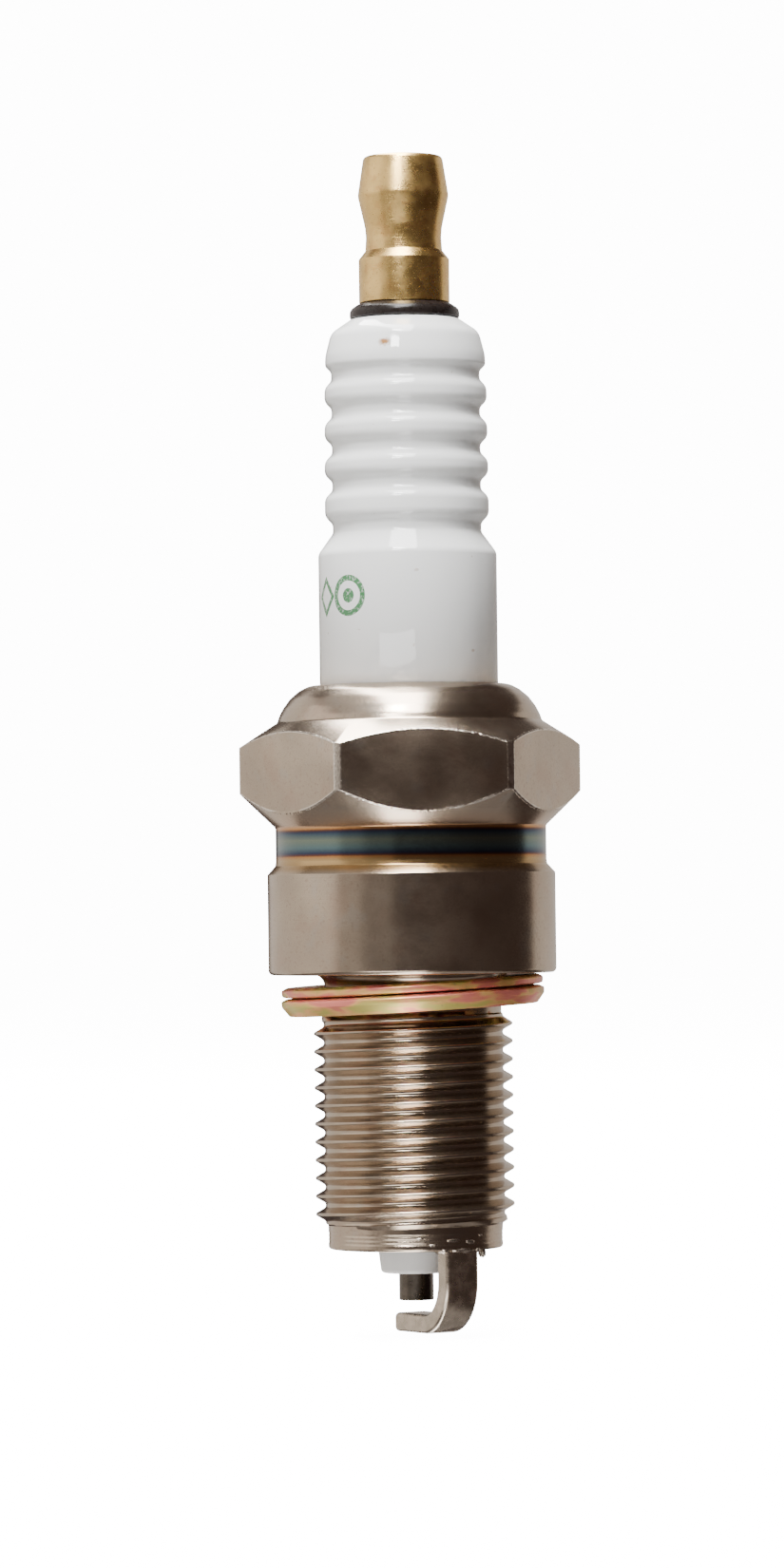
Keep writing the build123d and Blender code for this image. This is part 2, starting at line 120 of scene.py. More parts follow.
class SparkPlugInsulator(bpy.types.PropertyGroup):
    """Sizes and colours of the insulator."""

    steps: IntProperty(name="Steps", description="Faces around the insulator", default=144, min=24)
    body: FloatProperty(
        name="Body", description="Radius in mm", default=mount("boot_seat")["dims"]["r_mm"]
    )
    ribs: IntProperty(name="Ribs", description="Ribs above the body", default=4, min=1)
    rib_pitch: FloatProperty(name="Rib pitch", description="In mm", default=2.55)
    glaze: FloatVectorProperty(
        name="Glaze", description="White glaze", subtype="COLOR", default=(0.82, 0.83, 0.82)
    )
    mark: FloatVectorProperty(
        name="Mark", description="Printed mark", subtype="COLOR", default=(0.06, 0.20, 0.08)
    )


class SparkPlugTerminal(bpy.types.PropertyGroup):
    """Sizes and colours of the nut, the O-ring and the stud."""

    steps: IntProperty(name="Steps", description="Faces around the nut", default=96, min=24)
    collar: FloatProperty(
        name="Collar", description="Radius in mm", default=mount("terminal")["dims"]["r_mm"]
    )
    pitch: FloatProperty(name="Stud pitch", description="In mm", default=0.7)
    brass: FloatVectorProperty(
        name="Brass", description="Nut", subtype="COLOR", default=(0.92, 0.62, 0.22)
    )
    rubber: FloatVectorProperty(
        name="Rubber", description="O-ring", subtype="COLOR", default=(0.011, 0.008, 0.007)
    )


class SparkPlugGasket(bpy.types.PropertyGroup):
    """Sizes and colours of the crush gasket."""

    steps: IntProperty(name="Steps", description="Faces around the gasket", default=144, min=24)
    tilt: FloatProperty(
        name="Tilt",
        description="Lean of the gasket, half of its rock",
        subtype="ANGLE",
        default=math.radians(joint("gasket_rock")["range_deg"][1] / 2),
    )
    plating: FloatVectorProperty(
        name="Plating", description="Yellow zinc", subtype="COLOR", default=(0.76, 0.43, 0.15)
    )


class SparkPlugElectrodes(bpy.types.PropertyGroup):
    """Sizes and colours of the electrodes."""

    azimuth: FloatProperty(
        name="Azimuth",
        description="Strap, from the front",
        subtype="ANGLE",
        default=math.radians(27),
    )
    width: FloatProperty(name="Strap width", description="In mm", default=2.7)
    thickness: FloatProperty(name="Strap thickness", description="In mm", default=1.3)
    radius: FloatProperty(name="Strap place", description="Radius in mm", default=5.33)
    nickel: FloatVectorProperty(
        name="Nickel", description="Strap", subtype="COLOR", default=(0.58, 0.49, 0.39)
    )
    burnt: FloatVectorProperty(
        name="Burnt", description="Centre electrode", subtype="COLOR", default=(0.13, 0.11, 0.09)
    )


# ---------------------------------------------------------------- modelling


def only(piece):
    """Make this the one selected and active object."""
    bpy.ops.object.select_all(action="DESELECT")
    piece.select_set(True)
    bpy.context.view_layer.objects.active = piece


def mode(name):
    """Go into edit or object mode."""
    bpy.ops.object.mode_set(mode=name)


def whole_mesh():
    """Select the whole mesh in edit mode."""
    bpy.ops.mesh.select_all(action="SELECT")


def rounded(corners, closed=True, turn_step=15):
    """Points of an outline whose corners (radius, height, rounding) are rounded by arcs."""
    points = []
    count = len(corners)
    for index, (x, z, rounding) in enumerate(corners):
        here = Vector((x, z))
        if not rounding or (not closed and index in (0, count - 1)):
            points.append(here)
            continue
        before = (Vector(corners[index - 1][:2]) - here).normalized()
        after = (Vector(corners[(index + 1) % count][:2]) - here).normalized()
        opening = before.angle(after)
        reach = rounding / math.tan(opening / 2)
        middle = here + (before + after).normalized() * rounding / math.sin(opening / 2)
        first = here + before * reach - middle
        sweep = first.angle_signed(here + after * reach - middle)
        pieces = max(2, math.ceil(abs(math.degrees(sweep)) / turn_step))
        for step in range(pieces + 1):
            points.append(middle + Matrix.Rotation(-sweep * step / pieces, 2) @ first)
    return points


def chain(name, points):
    """An open chain of edges through (radius, height) points, drawn by extruding one vertex."""
    first = points[0] * MM
    bpy.ops.mesh.primitive_plane_add(size=MM, location=(first.x, 0, first.y))
    piece = bpy.context.object
    piece.name = name
    bpy.ops.object.transform_apply(location=True, rotation=True, scale=True)
    mode("EDIT")
    bpy.ops.mesh.merge(type="CENTER")
    for start, end in zip(points, points[1:]):
        step = (end - start) * MM
        bpy.ops.mesh.extrude_region_move(TRANSFORM_OT_translate={"value": (step.x, 0, step.y)})
    mode("OBJECT")
    return piece


def spin(piece, steps):
    """Turn a chain about the Z axis and weld the seam."""
    only(piece)
    mode("EDIT")
    whole_mesh()
    bpy.ops.mesh.spin(steps=steps, angle=FULL_TURN, center=(0, 0, 0), axis=(0, 0, 1))
    whole_mesh()
    bpy.ops.mesh.remove_doubles(threshold=MERGE)
    mode("OBJECT")


def lathe(name, corners, steps, closed=True, turn_step=15):
    """A turned piece from an outline's rounded corners."""
    points = rounded(corners, closed, turn_step)
    if closed:
        points.append(points[0].copy())
    piece = chain(name, points)
    spin(piece, steps)
    return piece


def thread(name, tooth, pitch, steps, start, turns):
    """A right-hand helical surface from one tooth's points of (radius, height)."""
    piece = chain(name, [Vector((r, start + z)) for r, z in tooth])
    screw = piece.modifiers.new("Screw", "SCREW")
    screw.axis = "Z"
    screw.angle = FULL_TURN
    screw.screw_offset = pitch * MM
    screw.iterations = turns
    screw.steps = screw.render_steps = steps
    screw.use_merge_vertices = True
    screw.merge_threshold = MERGE
    bpy.ops.object.modifier_apply(modifier="Screw")
    return piece


def straight_between(stops, value):
    """Height-to-radius line through (height, radius) stops."""
    for (low, first), (high, second) in zip(stops, stops[1:]):
        if value <= high:
            return first + (second - first) * max(0, value - low) / (high - low)
    return stops[-1][1]


def trim_thread(piece, outline, choose):
    """Hold a thread behind an outline of (height, radius) stops, and on it at both ends.

    choose is min for an outside thread, and max for an inside one.
    """
    low, high = outline[0][0], outline[-1][0]
    for vertex in piece.data.vertices:
        x, y, z = vertex.co / MM
        height = min(max(z, low), high)
        radius = straight_between(outline, height)
        if height not in (low, high):
            radius = choose(math.hypot(x, y), radius)
        angle = math.atan2(y, x)
        vertex.co = Vector((radius * math.cos(angle), radius * math.sin(angle), height)) * MM


def join(name, *parts):
    """Join parts into the first one, weld them and turn all faces outwards."""
    only(parts[0])
    for part in parts:
        part.select_set(True)
    if len(parts) > 1:
        bpy.ops.object.join()
    piece = bpy.context.view_layer.objects.active
    piece.name = piece.data.name = name
    mode("EDIT")
    whole_mesh()
    bpy.ops.mesh.remove_doubles(threshold=MERGE)
    bpy.ops.mesh.dissolve_degenerate(threshold=MERGE)
    whole_mesh()
    bpy.ops.mesh.normals_make_consistent(inside=False)
    mode("OBJECT")
    return piece


def smooth(piece, angle=32):
    """Smooth shading, broken at edges sharper than this angle."""
    only(piece)
    bpy.ops.object.shade_smooth_by_angle(angle=math.radians(angle))


def stands_for(piece, body, slot, finish, *nodes):
    """Ride on a body, replace the CAD nodes and take the finish as its one material; slot is not
    used.
    """
    piece.data.materials.clear()
    piece.data.materials.append(finish)
    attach(piece, body)
    if nodes:
        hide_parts(*nodes)


# ---------------------------------------------------------------- materials


class Value:
    """A socket in a sum: each operator adds one Math node."""

    def __init__(self, finish, socket):
        self.finish = finish
        self.socket = socket

    def __add__(self, other):
        return self.finish.math("ADD", self, other)

    def __radd__(self, other):
        return self.finish.math("ADD", other, self)

    def __sub__(self, other):
        return self.finish.math("SUBTRACT", self, other)

    def __rsub__(self, other):
        return self.finish.math("SUBTRACT", other, self)

    def __mul__(self, other):
        return self.finish.math("MULTIPLY", self, other)

    def __rmul__(self, other):
        return self.finish.math("MULTIPLY", other, self)

    def __truediv__(self, other):
        return self.finish.math("DIVIDE", self, other)

    def __gt__(self, other):
        return self.finish.math("GREATER_THAN", self, other)

    def __lt__(self, other):
        return self.finish.math("LESS_THAN", self, other)

    def __abs__(self):
        return self.finish.math("ABSOLUTE", self)


class Finish:
    """A material in the making: a Principled BSDF and what feeds it."""

    def __init__(self, name, **settings):
        self.material = bpy.data.materials.new(name)
        self.material.use_nodes = True
        self.tree = self.material.node_tree
        self.shader = self.tree.nodes["Principled BSDF"]
        for key, setting in settings.items():
            self.shader.inputs[key.replace("_", " ")].default_value = setting
        coordinates = self.tree.nodes.new("ShaderNodeTexCoord")
        self.place = Value(self, coordinates.outputs["Object"])
        parts = self.node("ShaderNodeSeparateXYZ", {}, (self.place,), every=True)
        self.x, self.y, self.z = [part * (1 / MM) for part in parts]

    def node(self, kind, settings=(), inputs=(), every=False):
        """Add a node, set it up, and feed its sockets by place or by name."""
        made = self.tree.nodes.new(kind)
        for key, setting in dict(settings).items():
            setattr(made, key, setting)
        named = inputs.items() if isinstance(inputs, dict) else enumerate(inputs)
        for key, value in named:
            self.feed(made.inputs[key], value)
        if every:
            return [Value(self, socket) for socket in made.outputs]
        return Value(self, made.outputs[0])

    def feed(self, socket, value):
        if isinstance(value, Value):
            self.tree.links.new(value.socket, socket)
        else:
            socket.default_value = value

    def set(self, **values):
        """Feed the shader's own sockets."""
        for key, value in values.items():
            self.feed(self.shader.inputs[key.replace("_", " ")], value)

    def noise(self, size, detail=2.0, stretch=(1, 1, 1)):
        """Noise of this grain in millimetres, stretched along the axes."""
        scale = [1 / (size * MM * s) for s in stretch]
        place = self.node(
            "ShaderNodeVectorMath", {"operation": "MULTIPLY"}, (self.place, scale)
        )
        return self.node(
            "ShaderNodeTexNoise", {}, {"Vector": place, "Scale": 1.0, "Detail": detail}
        )

    def around(self, size, rows, detail=2.0):
        """Noise drawn out round the axis, as turning leaves it: size along Z, rows per turn."""
        place = self.node(
            "ShaderNodeCombineXYZ", {}, (self.radius() / size, self.angle() * rows, self.z / size)
        )
        return self.node(
            "ShaderNodeTexNoise", {}, {"Vector": place, "Scale": 1.0, "Detail": detail}
        )

    def math(self, operation, *inputs):
        return self.node("ShaderNodeMath", {"operation": operation}, inputs)

    def root(self, value):
        return self.math("SQRT", value)

    def either(self, first, second):
        return self.math("MAXIMUM", first, second)

    def radius(self):
        return self.root(self.x * self.x + self.y * self.y)

    def angle(self):
        return self.math("ARCTAN2", self.y, self.x)

    def ramp(self, factor, *stops):
        """A colour ramp with (place, colour) stops."""
        made = self.tree.nodes.new("ShaderNodeValToRGB")
        elements = made.color_ramp.elements
        while len(elements) < len(stops):
            elements.new(0.5)
        for element, (place, colour) in zip(elements, stops):
            element.position = place
            element.color = (*colour, 1.0)
        self.feed(made.inputs["Fac"], factor)
        return Value(self, made.outputs["Color"])

    def spread(self, value, low, high, start=0.0, end=1.0, linear=False):
        """Map a value from low..high to start..end, held at both ends."""
        return self.node(
            "ShaderNodeMapRange",
            {"interpolation_type": "LINEAR" if linear else "SMOOTHSTEP"},
            {"Value": value, "From Min": low, "From Max": high, "To Min": start, "To Max": end},
        )

    def mix(self, factor, first, second):
        """Mix two colours."""
        made = self.tree.nodes.new("ShaderNodeMix")
        made.data_type = "RGBA"
        self.feed(made.inputs["Factor"], factor)
        for key, value in (("A", first), ("B", second)):
            socket = next(s for s in made.inputs if s.name == key and s.type == "RGBA")
            if not isinstance(value, Value):
                value = (*value, 1.0)
            self.feed(socket, value)
        output = next(s for s in made.outputs if s.type == "RGBA")
        return Value(self, output)

    def bump(self, height, distance, strength):
        """Relief of this height in millimetres, into Normal."""
        normal = self.node(
            "ShaderNodeBump",
            {},
            {"Strength": strength, "Distance": distance * MM, "Height": height},
        )
        self.set(Normal=normal)


def shade(colour, factor):
    """A darker or lighter version of a colour."""
    return tuple(min(1.0, channel * factor) for channel in colour)


# the hexagon's two chamfers, as rise over run, and the length and turned-off tip of each corner
LOWER_CHAMFER = math.tan(math.radians(44))
UPPER_CHAMFER = math.tan(math.radians(32.5))
CORNER_LENGTH = 3.2
CORNER_TIP = 0.13
# the radius and the top of the waist under the hexagon
WAIST = 9.4
WAIST_TOP = 10.2


def hexagon(sizes):
    """The radius at the hexagon's corners, and the heights where they start and end."""
    corner = sizes.across_flats / math.sqrt(3) - CORNER_TIP
    low = WAIST_TOP + (corner - WAIST) * LOWER_CHAMFER
    return corner, low, low + CORNER_LENGTH


def nickel_finish(sizes):
    """Nickel plating: turned rings, fine speckle, and heat tint round the waist."""
    f = Finish("nickel_plating", Metallic=1.0)
    metal = tuple(sizes.metal)
    clouds = f.noise(3.5, detail=3)
    fine = f.noise(0.22, detail=3)
    turned = f.around(0.05, 1.0)
    plate = f.mix(f.spread(clouds, 0.3, 0.7), shade(metal, 0.93), shade(metal, 1.07))
    # the thread is smoother than the rest, and darker by painted shade
    threads = f.spread(f.z, -1.2, -1.9) * f.spread(f.z, -17.4, -16.9)
    plate = f.mix(f.spread(f.noise(1.6), 0.55, 0.75) * 0.2, plate, (0.42, 0.43, 0.42))
    plate = f.mix(f.spread(fine, 0.54, 0.72) * 0.4 * (1 - threads), plate, (0.33, 0.24, 0.18))
    rust = f.spread(f.noise(2.4, detail=3), 0.5, 0.7)
    plate = f.mix(rust * 0.3, plate, (0.44, 0.29, 0.21))
    wander = (f.around(0.9, 0.8) - 0.5) * 0.16 + (fine - 0.5) * 0.06
    tint_low, tint_high, tint_inside = 6.9, 11.3, 8.6
    tint = f.ramp(
        f.spread(f.z + wander, tint_low, tint_high, linear=True),
        (0.00, metal),
        (0.10, (0.40, 0.25, 0.11)),
        (0.23, (0.52, 0.35, 0.16)),
        (0.275, (0.50, 0.24, 0.09)),
        (0.295, (0.16, 0.06, 0.04)),
        (0.325, (0.045, 0.055, 0.10)),
        (0.42, (0.13, 0.20, 0.21)),
        (0.54, (0.20, 0.24, 0.19)),
        (0.63, (0.08, 0.12, 0.15)),
        (0.67, (0.045, 0.05, 0.09)),
        (0.695, (0.17, 0.07, 0.04)),
        (0.72, (0.62, 0.31, 0.12)),
        (0.78, (0.56, 0.40, 0.28)),
        (1.00, metal),
    )
    # painted shade: the thread's colour is darkened towards brown
    plate = f.mix(threads * 0.15, plate, (0.30, 0.24, 0.18))
    # bright burrs where the flats meet the chamfers and each other, lightened as bare metal and as
    # a painted highlight
    corner, hex_low, hex_high = hexagon(sizes)
    fade, sure, reach = 0.10, 0.04, 0.12
    lower = abs(f.z - (f.radius() - corner) * LOWER_CHAMFER - hex_low)
    upper = abs(f.z + (f.radius() - corner) * UPPER_CHAMFER - hex_high)
    slant = f.x * math.cos(math.radians(30))
    sides = f.either(abs(f.y * 0.5 + slant), abs(f.y * 0.5 - slant))
    near_flat = f.either(abs(f.y), sides) > sizes.across_flats / 2 - reach
    rim = f.either(f.spread(lower, fade, sure), f.spread(upper, fade, sure)) * near_flat
    burr_and_glint = f.either(rim, f.radius() > corner - sure) * f.spread(f.noise(0.5), 0.3, 0.5)
    # painted highlight along the hexagon's edges, mixed with bare metal at the burrs
    plate = f.mix(burr_and_glint * 0.8, plate, (0.80, 0.72, 0.62))
    near_waist = (f.z > tint_low) * (f.z < tint_high) * (f.radius() > tint_inside)
    plate = f.mix(near_waist, plate, tint)
    f.set(
        Base_Color=plate,
        Roughness=f.spread(clouds + (fine - 0.5) * 0.5, 0.25, 0.8, 0.20, 0.26),
    )
    f.bump((turned * 0.7 + fine * 0.3) * (1 - threads * 0.85) + burr_and_glint * fine * 10, 0.006, 0.5)
    return f.material


def glaze_finish(sizes):
    """White glaze with a few specks and a printed mark; bare alumina at the nose, lighter partly by
    painted light.
    """
    f = Finish("white_glaze", IOR=1.55)
    glaze = tuple(sizes.glaze)
    soft = f.noise(5.0)
    colour = f.mix(soft, shade(glaze, 0.97), glaze)
    specks = f.spread(f.noise(0.5, detail=0), 0.86, 0.88)
    colour = f.mix(specks * 0.4, colour, (0.34, 0.24, 0.17))
    angle = f.angle()
    # one brown burn on the head, at this azimuth and height and this large
    head, burn_azimuth, burn_height = 5.5, math.radians(-110.4), 43.5
    burn_wide, burn_tall = 0.62, 0.36
    across = (angle - burn_azimuth) * head / burn_wide
    down = (f.z - burn_height + (f.noise(0.3) - 0.5) * 0.5) / burn_tall
    burn = f.spread(f.root(across * across + down * down), 1.0, 0.2)
    colour = f.mix(burn, colour, (0.34, 0.17, 0.07))
    # the mark on the body's left side: a ring round a dot, beside a diamond
    mark_azimuth, mark_height = math.radians(-137), 26.1
    along = (angle - mark_azimuth) * sizes.body
    up = f.z - mark_height
    spot = f.root(along * along + up * up)
    ring_radius, ring_line, dot_radius = 1.22, 0.2, 0.5
    diamond_place, diamond_size, diamond_line, slimness = -2.55, 1.17, 0.25, 1.3
    ring = abs(spot - ring_radius) < ring_line
    dot = spot < dot_radius
    edge = abs(along - diamond_place) * slimness + abs(up)
    diamond = abs(edge - diamond_size) < diamond_line
    ink = f.spread(f.noise(0.16), 0.30, 0.52, 0.6, 1.0)
    colour = f.mix(f.either(f.either(ring, dot), diamond) * ink, colour, tuple(sizes.mark))
    nose_glaze_end = -5.0
    bare = f.z < nose_glaze_end
    # the bare nose is lighter: unglazed alumina, and painted light where the shell shades it
    colour = f.mix(bare, colour, (0.90, 0.89, 0.86))
    f.set(Base_Color=colour, Roughness=bare * 0.35 + f.spread(soft, 0.3, 0.7, 0.04, 0.07))
    f.bump(f.noise(2.2, detail=1) + f.noise(0.08) * bare * 0.2, 0.012, 0.5)
    return f.material


def brass_finish(sizes):
    """Turned brass with fine rings and dark specks."""
    f = Finish("turned_brass", Metallic=1.0)
    brass = tuple(sizes.brass)
    clouds = f.noise(1.5, detail=4)
    turned = f.around(0.05, 1.1)
    colour = f.mix(f.spread(clouds, 0.3, 0.7), shade(brass, 0.86), shade(brass, 1.08))
    redness = f.spread(f.noise(0.9), 0.48, 0.68)
    colour = f.mix(redness * 0.35, colour, (0.62, 0.30, 0.10))
    specks = f.spread(f.noise(0.2), 0.60, 0.72)
    colour = f.mix(specks * 0.4, colour, (0.30, 0.13, 0.03))
    f.set(Base_Color=colour, Roughness=f.spread(clouds, 0.3, 0.8, 0.24, 0.34) + specks * 0.1)
    f.bump(turned * 0.8 + f.noise(0.14) * 0.2, 0.012, 0.8)
    return f.material


def rubber_finish(sizes):
    """Glossy dark rubber."""
    f = Finish("ring_rubber", IOR=1.35)
    rubber = tuple(sizes.rubber)
    grain = f.noise(0.5, detail=3)
    f.set(
        Base_Color=f.mix(f.spread(grain, 0.35, 0.65), rubber, shade(rubber, 1.25)),
        Roughness=f.spread(grain, 0.3, 0.7, 0.26, 0.32),
    )
    f.bump(grain, 0.003, 0.4)
    return f.material


def zinc_finish(sizes):
    """Yellow passivated zinc with pink and olive bloom."""
    f = Finish("yellow_zinc", Metallic=0.6)
    clouds = f.noise(1.3, detail=3)
    fine = f.noise(0.25, detail=3)
    plating = tuple(sizes.plating)
    streaks = f.noise(1.5, stretch=(2.4, 2.4, 0.55))
    colour = f.ramp(
        f.spread(streaks, 0.36, 0.64),
        (0.0, (0.55, 0.46, 0.12)),
        (0.32, plating),
        (0.58, (0.86, 0.47, 0.18)),
        (0.80, (0.82, 0.30, 0.17)),
        (1.0, (0.76, 0.23, 0.18)),
    )
    colour = f.mix(f.spread(fine, 0.62, 0.75) * 0.3, colour, (0.30, 0.20, 0.09))
    f.set(Base_Color=colour, Roughness=f.spread(clouds, 0.3, 0.7, 0.28, 0.38))
    f.bump(f.around(0.09, 2.0) * 0.5 + fine * 0.5, 0.006, 0.5)
    return f.material


def electrode_finish(name, nickel):
    """Nickel alloy with a thin brown bloom."""
    f = Finish(name, Metallic=1.0)
    clouds = f.noise(0.9, detail=4)
    fine = f.noise(0.12, detail=3)
    colour = f.mix(f.spread(clouds, 0.35, 0.7), shade(nickel, 0.85), shade(nickel, 1.15))
    colour = f.mix(f.spread(fine, 0.6, 0.75) * 0.3, colour, shade(nickel, 0.45))
    f.set(Base_Color=colour, Roughness=f.spread(clouds, 0.3, 0.8, 0.24, 0.34))
    f.bump(fine, 0.006, 0.5)
    return f.material


def plain_finish(name, colour, metallic, rough, grain):
    """A quiet finish for the pieces inside: a grain in colour, gloss and relief."""
    f = Finish(name, Metallic=metallic)
    clouds = f.noise(grain * 4, detail=3)
    fine = f.noise(grain, detail=3)
    f.set(
        Base_Color=f.mix(clouds, shade(colour, 0.8), shade(colour, 1.15)),
        Roughness=f.spread(fine, 0.3, 0.7, rough * 0.8, min(1.0, rough * 1.2)),
    )
    f.bump(fine, grain * 0.1, 0.5)
    return f.material


# ---------------------------------------------------------------- pieces


def tooth_points(root, crest, pitch, root_flat, soft):
    """One thread tooth, from the middle of a groove to the middle of the next.

    root_flat is the width of a groove's floor, and soft the rounding at a crest.
    """
    depth = abs(crest - root)
    flank = depth * math.tan(math.radians(30))
    half_root = root_flat / 2
    corners = [
        (root, 0, 0),
        (root, half_root, soft * 2),
        (crest, half_root + flank, soft),
        (crest, pitch - half_root - flank, soft),
        (root, pitch - half_root, soft * 2),
        (root, pitch, 0),
    ]
    return rounded(corners, closed=False, turn_step=20)


def build_shell(sizes):
    """The shell: turned body, M14 thread, hexagon cut by its six flats."""
    end = SHELL_LOW.z
    lip = SHELL_HIGH.z
    pilot, pilot_top, neck, neck_foot = 6.05, end + 1.65, 6.13, -2.75
    collar, collar_top, waist_foot, waist_low = 10.0, 6.95, 9.45, 7.55
    crimp, bore, flange_bore, nose_bore, ledge = 9.2, 5.25, 7.7, 4.62, 4.35
    mouth, mark_depth, flat_edge = 6.32, 0.045, 0.07
    corner, hex_low, hex_high = hexagon(sizes)
    crimp_root = hex_high + (corner - crimp) * UPPER_CHAMFER
    join_low, join_high = pilot_top - 0.3, neck_foot + 0.9
    body = lathe(
        "shell_body",
        [
            (neck, join_high, 0),
            (neck, 0, 0.8),
            (collar, 0, 0.35),
            (collar, collar_top, 0.08),
            (waist_foot, waist_low, 0.12),
            (WAIST, waist_low + 0.3, 0.1),
            (WAIST, WAIST_TOP, 0.2),
            (corner, hex_low, 0.06),
            (corner, hex_high, 0.06),
            (crimp, crimp_root, 0.25),
            (9.08, lip - 2.14, 1.5),
            (8.78, lip - 1.55, 1.5),
            (8.3, lip - 0.9, 1.5),
            (7.65, lip - 0.35, 1.5),
            (6.95, lip, 1.2),
            (mouth, lip, 0.05),
            (mouth, lip - 0.85, 0),
            (flange_bore, lip - 1.55, 0),
            (flange_bore, 3.9, 0),
            (bore, 1.45, 0),
            (bore, -6.3, 0),
            (ledge, -6.85, 0),
            (ledge, -9.45, 0.1),
            (nose_bore, -9.72, 0),
            (nose_bore, end, 0.08),
            (pilot, end, 0.22),
            # three shallow turned marks
            (pilot, end + 0.40, 0.1),
            (pilot - mark_depth, end + 0.52, 0.1),
            (pilot, end + 0.66, 0.12),
            (pilot - mark_depth, end + 0.80, 0.12),
            (pilot, end + 0.94, 0.12),
            (pilot - 0.04, end + 1.08, 0.1),
            (pilot, end + 1.20, 0.05),
            (pilot, join_low, 0),
        ],
        sizes.steps,
        closed=False,
        turn_step=9,
    )
    only(body)
    flat = sizes.across_flats / 2 * MM
    for side in range(6):
        direction = math.radians(90 + 60 * side)
        normal = (math.cos(direction), math.sin(direction), 0)
        mode("EDIT")
        whole_mesh()
        bpy.ops.mesh.bisect(
            plane_co=[flat * part for part in normal],
            plane_no=normal,
            use_fill=True,
            clear_outer=True,
            threshold=1e-8,
        )
        mode("OBJECT")
    # the cut flats are the faces with many corners, and their edges are broken a little
    edges = set()
    for polygon in body.data.polygons:
        away = max(body.data.vertices[index].co.xy.length for index in polygon.vertices)
        polygon.select = len(polygon.vertices) > 8 and away > flat
        if polygon.select:
            edges.update(polygon.edge_keys)
    for edge in body.data.edges:
        edge.select = edge.key in edges
    mode("EDIT")
    bpy.context.tool_settings.mesh_select_mode = (False, True, False)
    bpy.ops.mesh.bevel(offset=flat_edge * MM, segments=2, affect="EDGES", clamp_overlap=True)
    mode("OBJECT")
    bpy.context.tool_settings.mesh_select_mode = (True, False, False)
    root = sizes.crest - sizes.depth
    below = math.ceil((sizes.groove_height - join_low) / sizes.pitch) + 1
    start = sizes.groove_height - below * sizes.pitch
    turns = math.ceil((join_high - start) / sizes.pitch) + 1
    tooth = tooth_points(root, sizes.crest, sizes.pitch, root_flat=0.3, soft=0.12)
    spiral = thread("shell_thread", tooth, sizes.pitch, sizes.steps, start, turns)
    outline = [
        (join_low, pilot),
        (pilot_top, pilot),
        (pilot_top + 0.6, sizes.crest),
        (neck_foot - 0.7, sizes.crest),
        (neck_foot, neck),
        (join_high, neck),
    ]
    trim_thread(spiral, outline, min)
    shell = join("shell_metal", body, spiral)
    smooth(shell)
    return shell


def build_insulator(sizes):
    """The insulator: nose, core, flange, glazed body, ribs and head."""
    top = INSULATOR_HIGH.z
    tip = INSULATOR_LOW.z
    lip = SHELL_HIGH.z
    floor, rib, head = 5.16, 5.70, 5.57
    hole, bore, nose, core, flange = 1.27, 2.05, 2.42, 5.05, 7.5
    half_floor = 0.3
    first = top - 3.95
    middles = [first - sizes.rib_pitch * n for n in range(sizes.ribs)][::-1]
    lowest = middles[0] - 2.96 + half_floor
    corners = [
        (hole, tip, 0.05),
        (nose, tip, 0.3),
        (4.0, -7.3, 0.3),
        (4.15, -6.56, 0),
        (core, -6.01, 0),
        (core, 1.55, 0.3),
        (flange, 4.0, 0.3),
        (flange, 11.9, 0.3),
        (6.0, 12.7, 0.1),
        (6.0, lip - 0.1, 0),
        (sizes.body, lip + 0.1, 0),
        (sizes.body, lowest - 2.05, 0.75),
        (floor, lowest - 0.6, 0.5),
        (floor, lowest, 0.5),
        (rib, lowest + 0.6, 0.75),
    ]
    for index, middle in enumerate(middles):
        last = index == len(middles) - 1
        swell = 0.09 * index / len(middles)
        mouth = head if last else rib - swell
        corners += [
            (rib - swell, middle - half_floor - (rib - floor), 0.75),
            (floor, middle - half_floor, 0.5),
            (floor, middle + half_floor, 0.5),
            (mouth, middle + half_floor + mouth - floor, 0.35 if last else 0.75),
        ]
    corners += [
        (head, top - 2.6, 2.4),
        (head - 0.42, top - 0.95, 1.1),
        (3.75, top, 0.45),
        (bore, top, 0.1),
        (bore, -4.2, 0),
        (hole, -4.9, 0),
    ]
    piece = lathe("insulator_ceramic", corners, sizes.steps, turn_step=8)
    piece = join("insulator_ceramic", piece)
    smooth(piece, 50)
    return piece


def build_nut(sizes):
    """The terminal nut, tapped right through."""
    foot, top = NUT_LOW.z, NUT_HIGH.z
    crest, root = 1.66, 2.03
    neck, lead_in, mouth = 2.62, 0.12, 0.37
    outside = lathe(
        "nut_outside",
        [
            (root, foot + lead_in, 0),
            (2.2, foot, 0.04),
            (sizes.collar, foot, 0.1),
            (sizes.collar, foot + 3.05, 0.1),
            (2.68, foot + 3.65, 0.15),
            (neck, foot + 4.6, 1.6),
            (2.68, foot + 5.3, 1.4),
            (3.16, foot + 7.5, 0.9),
            (2.74, top, 0.35),
            (2.2, top, 0.06),
            (root, top - lead_in, 0),
        ],
        sizes.steps,
        closed=False,
        turn_step=8,
    )
    # half a pitch off the stud's groove, so that its teeth fill the stud's grooves
    start = stud_groove_start() - sizes.pitch * 2.5
    turns = math.ceil((top - start) / sizes.pitch) + 2
    tooth = tooth_points(root, crest, sizes.pitch, root_flat=0.1, soft=0.012)
    inside = thread("nut_inside", tooth, sizes.pitch, sizes.steps, start, turns)
    low, high = foot + lead_in, top - lead_in
    bevel = [(low, root), (low + mouth, crest), (high - mouth, crest), (high, root)]
    trim_thread(inside, bevel, max)
    nut = join("terminal_nut_brass", outside, inside)
    smooth(nut, 38)
    return nut


STUD_COLLAR = 1.0
STUD_UNDERCUT = 0.8


def stud_groove_start():
    """Height of the stud's first groove above +X."""
    return INSULATOR_HIGH.z + STUD_COLLAR + STUD_UNDERCUT / 2


